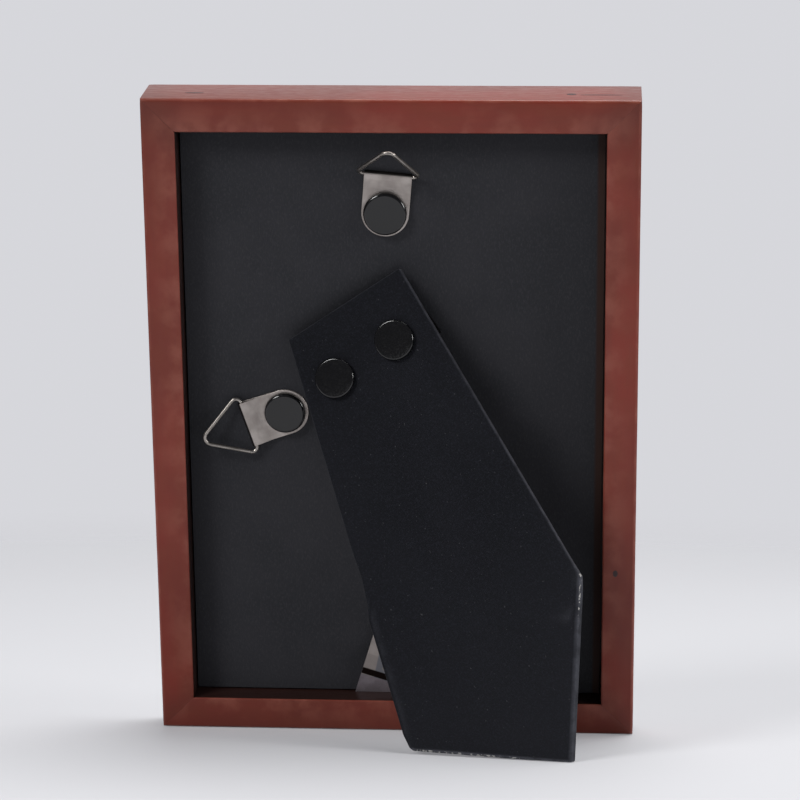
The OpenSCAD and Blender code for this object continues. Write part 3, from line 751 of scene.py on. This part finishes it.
def strut():
    """The board in its suede paper, with a swollen, crushed left edge and a slanted right one."""
    corners = strut_corners()
    radii = (0.7, 0.8, 1.0, 1.0, 1.8)
    edge_r, waviness, swollen, slanted = 0.55, 0.10, 1.2, 0.7
    crush_share, crushed, swell_top = 0.42, Vector((-0.35, 0.1)), 48
    low, high = KNUCKLE_R, KNUCKLE_R + STRUT_T
    quarter = [math.radians(90 * i / 5) for i in range(6)]
    levels = [(edge_r * (1 - math.sin(a)), low + edge_r * (1 - math.cos(a))) for a in quarter]
    levels += [(edge_r * (1 - math.cos(a)), high - edge_r * (1 - math.sin(a))) for a in quarter]
    inner = (1.2, 3.0, 6.0, 10.0, 14.0, 18.0)
    levels = [(inset, low) for inset in reversed(inner)] + levels
    levels += [(inset, high) for inset in inner]
    bm = bmesh.new()
    loft(bm, [[(*p, z) for p in rounded_outline(corners, radii, inset)] for inset, z in levels])
    crush = corners[4].lerp(corners[0], crush_share)
    left = (corners[0] - corners[4]).normalized()
    outward = Vector((-left.y, left.x))
    outward *= 1 if outward.dot(corners[4] - corners[3]) > 0 else -1
    right = (corners[3] - corners[2]).normalized()
    for v in bm.verts:
        along, off = (v.co.xy - corners[2]).dot(right), (v.co.xy - corners[2]).cross(right)
        slant = (smoothstep(-1, 1.5, along) * (1 - smoothstep(0.6, 2.5, abs(off)))
                 * (1 - smoothstep(low, high, v.co.z)))
        v.co += Vector((-right.y, right.x, 0)) * slanted * slant
        wave = noise.noise(Vector((v.co.x * 0.05, v.co.y * 0.05, 3.0)))
        flat = smoothstep(0.3, 1.5, v.co.z - low)
        v.co.z += waviness * (wave - 0.5) * flat
        near = 1 - smoothstep(1.0, 6.0, (v.co.xy - crush).length)
        v.co += Vector((*crushed, -0.15 * flat)) * near
        from_foot = v.co.xy - corners[4]
        up, out = from_foot.dot(left), from_foot.dot(outward)
        swell = (smoothstep(-1, 4, up) * (1 - smoothstep(swell_top - 6, swell_top, up))
                 * (1 - smoothstep(1, 8, -out)))
        v.co += outward.to_3d() * swollen * swell
    made = piece("strut_suede", bm, STRUT, "strut", VELOUR, ("strut_cover",), 60)
    stand_on(made, 0.0)
    bm = bmesh.new()
    core_inset, cover_t, core_lift = 1.3, 0.5, 0.6
    core = rounded_outline(corners, radii, core_inset)
    loft(bm, [[(*p, z) for p in core] for z in (low + cover_t, high - cover_t)])
    stand_on(piece("strut_fibreboard", bm, STRUT, "strut", STRUT_CORE,
                   ("strut_board",), 60), core_lift)
    return made


strut_piece = strut()


def strut_rubbing(co):
    """Rubbed along its edges, and most at the right corner and along the foot."""
    corners = strut_corners()
    p = Vector((co.x, co.y))
    right_side, foot = 2, 3
    strengths = (0.3, 0.55, 0.9, 0.9, 0.15)
    scuffed, scuff_r = Vector((-32.0, 114.0)), 3.2
    best = 0.0
    for i, strength in enumerate(strengths):
        a, b = corners[i], corners[(i + 1) % len(corners)]
        along = (b - a).normalized()
        t = min((b - a).length, max(0, (p - a).dot(along)))
        away = (a + along * t - p).length
        band = 0.0
        if i == right_side:
            strength = 1.0 - 0.25 * smoothstep(8, 22, t)
            band = 0.5
        elif i == foot:
            band = 0.8 + 0.2 * smoothstep(8, 25, t)
        best = max(best, strength * (1 - smoothstep(0.05, 0.5, away)),
                   band * (1 - smoothstep(0.6, 1.1, away)))
    near_corner = 1 - smoothstep(0, 1.6, (p - corners[2]).length)
    scuff = 0.3 * (1 - smoothstep(0.5, scuff_r, (p - scuffed).length))
    return max(best, near_corner, scuff)


paint(strut_piece, "rubbed", strut_rubbing)


# ---- Rivets ----

def button_rivet(name, place, body, radius, roll, node=()):
    """A pressed button head: a broad dished face, a rolled edge and a turned-in foot."""
    face_r, foot_r = radius - roll, 0.4
    dish = ((0, 0.16), (0.3, 0.155), (0.6, 0.13), (0.85, 0.07), (0.95, 0.03))
    profile = [(face_r * share, HEAD_H - depth) for share, depth in dish]
    profile += [(face_r + p.x, HEAD_H - roll + p.y) for p in arc((0, 0), roll, 96, 0, 10)]
    profile += [(radius - p.x, foot_r - p.y) for p in arc((foot_r, 0), foot_r, 180, 90, 5)]
    profile += [(0, 0.0)]
    bm = bmesh.new()
    lathe(bm, profile)
    piece(name, bm, place, body, ENAMEL, node, 28)


STACK = SHEET_T + 2 * SHEET_GAP
button_rivet("top_hanger_button", on_backboard(TOP_RIVET) @ move(z=STACK), "frame",
             HEAD_R + TOP_HEAD_EXTRA, HANGER_ROLL, ("top_hanger_rivet",))
button_rivet("side_hanger_button", on_backboard(SIDE_RIVET) @ move(z=STACK), "frame",
             HEAD_R + SIDE_HEAD_EXTRA, HANGER_ROLL, ("side_hanger_rivet",))
for index, (x, y) in enumerate(STRUT_RIVETS):
    button_rivet(f"strut_button_{index + 1}", STRUT @ move(x, y, KNUCKLE_R + STRUT_T), "strut",
                 HEAD_R, STRUT_ROLL, ("strut_rivets",) if index == 0 else ())


# ---- Hangers ----

def hanger_plate(name, place, swing, body):
    """A strip folded round the ring wire, with both layers held by the rivet."""
    layer_gap, tip_gap, bevel, steps = 0.03, 0.02, 0.09, 12
    sheet = SHEET_T / 2 - layer_gap
    half = PLATE_W / 2
    round_end = [-half + tip_gap + half * (i / steps) ** 2 for i in range(steps + 1)]
    low, high = SHEET_GAP + sheet / 2, SHEET_GAP + SHEET_T - sheet / 2
    loop_r = SLEEVE_R - sheet / 2
    path = [Vector((y, low)) for y in round_end]
    path += [Vector((SLEEVE_REACH * i / 4, low)) for i in range(1, 4)]
    path += arc((SLEEVE_REACH, SLEEVE_H), loop_r, -100, 90, 18)
    top = SLEEVE_H + loop_r
    path += [Vector((y, high + (top - high) * smoothstep(HEAD_R - 0.8, SLEEVE_REACH + 0.3, y)))
             for y in [SLEEVE_REACH - 0.5 * i for i in range(1, 14)]]
    path += [Vector((SLEEVE_REACH * i / 4, high)) for i in (1.5, 0.7)]
    path += [Vector((y, high)) for y in reversed(round_end)]
    sections = []
    for i, p in enumerate(path):
        along = (path[min(i + 1, len(path) - 1)] - path[max(i - 1, 0)]).normalized()
        out = Vector((-along.y, along.x)) * sheet / 2
        wide = half if p.x > 0 else math.sqrt(max(0.3, half ** 2 - p.x ** 2))
        sections.append([(-wide, *(p - out)), (wide, *(p - out)), (wide, *(p + out)),
                         (-wide, *(p + out))])
    at = place @ turn(swing, "Z")
    bm = bmesh.new()
    loft(bm, sections)
    made = piece(name, bm, at, body, NICKEL, (name.removesuffix("_folded"),), 30)
    apply_modifier(made, "BEVEL", width=bevel * MM, segments=2, limit_method="ANGLE",
                   angle_limit=math.radians(50))
    keep_own_space(made, at)


def ring(name, place, swing, tilt, body):
    """A triangle of round wire with bent corners; its base runs through the sleeve."""
    bend_r, top_r = 1.6, 2.2
    # the straight sides meet a little outside the bends
    corner, apex = RING_W / 2 + 1.25, RING_H + 1.4
    bm = bmesh.new()
    tube(bm, rounded_path([(-corner, 0, 0), (corner, 0, 0), (0, apex, 0)], (bend_r, bend_r, top_r)),
         WIRE_R)
    at = place @ turn(swing, "Z") @ move(y=SLEEVE_REACH, z=SLEEVE_H) @ turn(tilt, "X")
    piece(name, bm, at, body, WIRE, (name.removesuffix("_wire"),), 60)


hanger_plate("top_hanger_plate_folded", on_backboard(TOP_RIVET), TOP_SWIVEL, "top_hanger")
hanger_plate("side_hanger_plate_folded", on_backboard(SIDE_RIVET), SIDE_SWIVEL, "side_hanger")
ring("top_hanger_ring_wire", on_backboard(TOP_RIVET), TOP_SWIVEL, TOP_RING_TILT, "top_ring")
ring("side_hanger_ring_wire", on_backboard(SIDE_RIVET), SIDE_SWIVEL, SIDE_RING_TILT, "side_ring")


# ---- Mat and coins ----

def mat_board():
    """The window mat: its openings are cut at 45 degrees and show the pale core."""
    low_x, low_z = LAYER_GAP + RAIL_W - FRAME_W / 2, RAIL_W + LAYER_GAP
    high_z = FRAME_H - RAIL_W - LAYER_GAP
    sheet = ((low_x, low_z), (-low_x, low_z), (-low_x, high_z), (low_x, high_z))
    past = 0.5     # how far a cutter passes each face of the mat
    bm = bmesh.new()
    loft(bm, [[(x, y, z) for x, z in sheet] for y in (MAT_FRONT, MAT_FRONT + MAT_T)])
    made = piece("window_mat", bm, STAND, "frame", (MAT, CORE), ("mat_board",), 20)
    for x, z, r in COINS.values():
        bm = bmesh.new()
        open_r = r - WINDOW_LAP
        lathe(bm, [(0, -past), (open_r - past, -past), (open_r + MAT_T + past, MAT_T + past),
                   (0, MAT_T + past)], 128)
        bmesh.ops.scale(bm, vec=(MM, MM, MM), verts=bm.verts)
        mesh = bpy.data.meshes.new("cutter")
        bm.to_mesh(mesh)
        bm.free()
        mesh.materials.append(CORE)
        cutter = bpy.data.objects.new("cutter", mesh)
        bpy.context.scene.collection.objects.link(cutter)
        cutter.matrix_world = STAND @ move(x, MAT_FRONT + MAT_T, FRAME_H / 2 + z) @ turn(90, "X")
        apply_modifier(made, "BOOLEAN", operation="DIFFERENCE", object=cutter, solver="EXACT",
                       material_mode="TRANSFER")
        bpy.data.objects.remove(cutter)
    made.data.set_sharp_from_angle(angle=math.radians(20))
    keep_own_space(made, STAND)


mat_board()


def star(r, angle, points, outer, inner):
    """Height of the field round a sunken star: 0 within the star, rising to 1 off its sides."""
    step = math.pi / points
    a = abs((angle + step) % (2 * step) - step)
    tip, dent = Vector((outer, 0)), Vector((inner * math.cos(step), inner * math.sin(step)))
    side = tip - dent
    p = Vector((r * math.cos(a), r * math.sin(a)))
    # how far the point is outside the nearest side, and how far that side is from the middle
    away = (side.x * (p.y - dent.y) - side.y * (p.x - dent.x)) / side.length
    reach = (side.x * dent.y - side.y * dent.x) / side.length
    return max(0.0, min(1.0, away / reach))


def petals(r, angle, count, outer):
    """Height of a ring of rounded petals."""
    width = abs(math.cos(angle * count / 2)) ** 0.7 * outer
    return max(0.0, 1 - (r / width) ** 2) ** 0.5 if width > r else 0.0


def leaves(r, angle, count, middle, long, wide):
    """Height of a wreath of leaves that lie round a circle."""
    step = 2 * math.pi / count
    height = 0.0
    for side in (-1, 1):
        a = (angle + side * step * 0.18) % step - step / 2
        across, along = r - middle - side * wide * 0.75, a * middle
        lean = side * 0.5
        u = along * math.cos(lean) + across * math.sin(lean)
        v = across * math.cos(lean) - along * math.sin(lean)
        height = max(height, 1 - (u / long) ** 2 - (v / wide) ** 2)
    return max(0.0, height) ** 0.5


def beads(r, angle, count, middle, size):
    """Height of a ring of round beads."""
    step = 2 * math.pi / count
    along = (angle % step - step / 2) * middle
    return max(0.0, 1 - ((r - middle) ** 2 + along ** 2) / size ** 2) ** 0.5


# heights over a coin's face, from 0 to 1, by the share of the radius and the angle
LEAF_H, BEAD_H = 0.8, 0.6
DESIGNS = {
    "centre_coin": lambda r, a: max(
        star(r, a, 8, 0.50, 0.2), LEAF_H * leaves(r, a, 22, 0.68, 0.1, 0.04),
        BEAD_H * beads(r, a, 72, 0.88, 0.028)),
    "upper_left_coin": lambda r, a: max(
        star(r, a, 5, 0.62, 0.26), BEAD_H * beads(r, a, 40, 0.85, 0.04)),
    "upper_right_coin": lambda r, a: max(
        petals(r, a, 6, 0.66), BEAD_H * beads(r, a, 40, 0.85, 0.04)),
    "lower_left_coin": lambda r, a: max(
        petals(r, a, 10, 0.42), LEAF_H * leaves(r, a, 18, 0.66, 0.12, 0.045),
        BEAD_H * beads(r, a, 56, 0.87, 0.032)),
    "lower_right_coin": lambda r, a: max(
        star(r, a, 16, 0.72, 0.34), BEAD_H * beads(r, a, 56, 0.87, 0.032)),
}


def coin(name, x, z, radius):
    """A struck coin: reeded edge, raised rim and a generic design on its front face."""
    design = DESIGNS[name]
    steps, circles = 288, 44
    reed, relief, field, eased = 0.07, 0.272, 0.3, 0.15
    rim = 1 - 1.1 / radius
    bm = bmesh.new()

    def circle(share, height):
        """A ring of vertices at that share of the radius. height may be a number or a function."""
        made = []
        for i in range(steps):
            a = 2 * math.pi * i / steps
            edge = radius - (reed if i % 2 and share > 0.99 else 0)
            made.append(bm.verts.new((edge * share * math.cos(a), edge * share * math.sin(a),
                                      height(share, a) if callable(height) else height)))
        return made

    def struck(share, a):
        return (COIN_T - field
                + relief * design(share, a) * (1 - smoothstep(rim - 0.02, rim, share)))

    rings = [circle(i / circles * rim, struck) for i in range(1, circles + 1)]
    rings += [circle(share, height) for share, height in (
        (rim + 0.012, COIN_T - 0.05), (rim + 0.03, COIN_T), (0.985, COIN_T), (1.0, COIN_T - eased),
        (1.0, eased), (0.985, 0.0), (rim, 0.0), (rim - 0.02, field))]
    for ring_of, following in zip(rings, rings[1:]):
        bridge(bm, ring_of, following)
    for ring_of, height in ((rings[0], COIN_T - field + relief * design(0, 0)), (rings[-1], field)):
        pole = bm.verts.new((0, 0, height))
        for i in range(steps):
            bm.faces.new((pole, ring_of[i], ring_of[(i + 1) % steps]))
    bmesh.ops.recalc_face_normals(bm, faces=bm.faces)
    facing = STAND @ move(x, CARRIER_FRONT + COIN_T, FRAME_H / 2 + z) @ turn(90, "X")
    metal = BRONZE if name.startswith("upper") else SILVER
    made = piece(name + "_struck", bm, facing, "frame", metal, (name,), 25)
    low_from, low_to = COIN_T - field, COIN_T - field * 0.4
    paint(made, "low", lambda co: 1 - smoothstep(low_from, low_to, co.z))


for coin_name, (coin_x, coin_z, coin_r) in COINS.items():
    coin(coin_name, coin_x, coin_z, coin_r)


# ---- Studio ----

def studio_floor():
    """A pale floor that fades into the background away from the object."""
    radius, rings, steps = 2.4, 24, 96
    fade_from, fade_to, opacity = 0.45, 0.95, 0.75
    bm = bmesh.new()
    circles = [[bm.verts.new((radius * i / rings * math.cos(2 * math.pi * k / steps),
                              radius * i / rings * math.sin(2 * math.pi * k / steps), 0))
                for k in range(steps)] for i in range(1, rings + 1)]
    for circle, following in zip(circles, circles[1:]):
        bridge(bm, circle, following)
    bm.faces.new(circles[0])
    mesh = bpy.data.meshes.new("studio_floor")
    bm.to_mesh(mesh)
    bm.free()
    floor = bpy.data.objects.new("studio_floor", mesh)
    bpy.context.scene.collection.objects.link(floor)
    floor.location.z = -0.2 * MM
    s = Shade("pale_floor", (0.69, 0.692, 0.715), roughness=0.6, specular_ior_level=0.2)
    place = s.node("ShaderNodeTexCoord").outputs["Object"]
    away = s.node("ShaderNodeVectorMath", Vector=place)
    away.operation = "LENGTH"
    fading = s.span(away.outputs["Value"], fade_from, fade_to, opacity, 0.0)
    s.feed(s.shader.inputs["Alpha"], fading)
    mesh.materials.append(s.material)


def area_lamp(name, place, target, size, power):
    """A round soft lamp that points at the target."""
    data = bpy.data.lights.new(name, "AREA")
    data.shape = "DISK"
    data.size = size
    data.energy = power
    lamp = bpy.data.objects.new(name, data)
    bpy.context.scene.collection.objects.link(lamp)
    lamp.location = place
    lamp.rotation_euler = (Vector(target) - Vector(place)).to_track_quat("-Z", "Y").to_euler()


def studio_world(seen, lit):
    """A pale backdrop that is seen at one brightness and lights the object at another."""
    world = bpy.data.worlds.new("studio_world")
    bpy.context.scene.world = world
    world.use_nodes = True
    nodes, links = world.node_tree.nodes, world.node_tree.links
    light = nodes["Background"]
    light.inputs["Color"].default_value = (*lit, 1)
    backdrop = nodes.new("ShaderNodeBackground")
    backdrop.inputs["Color"].default_value = (*seen, 1)
    both = nodes.new("ShaderNodeMixShader")
    links.new(nodes.new("ShaderNodeLightPath").outputs["Is Camera Ray"], both.inputs[0])
    links.new(light.outputs[0], both.inputs[1])
    links.new(backdrop.outputs[0], both.inputs[2])
    links.new(both.outputs[0], nodes["World Output"].inputs["Surface"])


studio_floor()
studio_world((0.675, 0.678, 0.712), (0.12, 0.12, 0.13))
area_lamp("key_lamp", (1.00, 1.10, 0.95), (0, 0, 0.1), 0.6, 14.5)
area_lamp("side_lamp", (-1.4, 0.50, 0.45), (0, 0, 0.1), 0.5, 9.0)
area_lamp("top_lamp", (-0.35, -0.1, 1.6), (0, 0, 0), 1.2, 24.0)
area_lamp("back_lamp", (0.1, -1.5, 1.1), (0, 0, 0.1), 1.4, 2.8)
bpy.context.scene.view_settings.view_transform = "Standard"
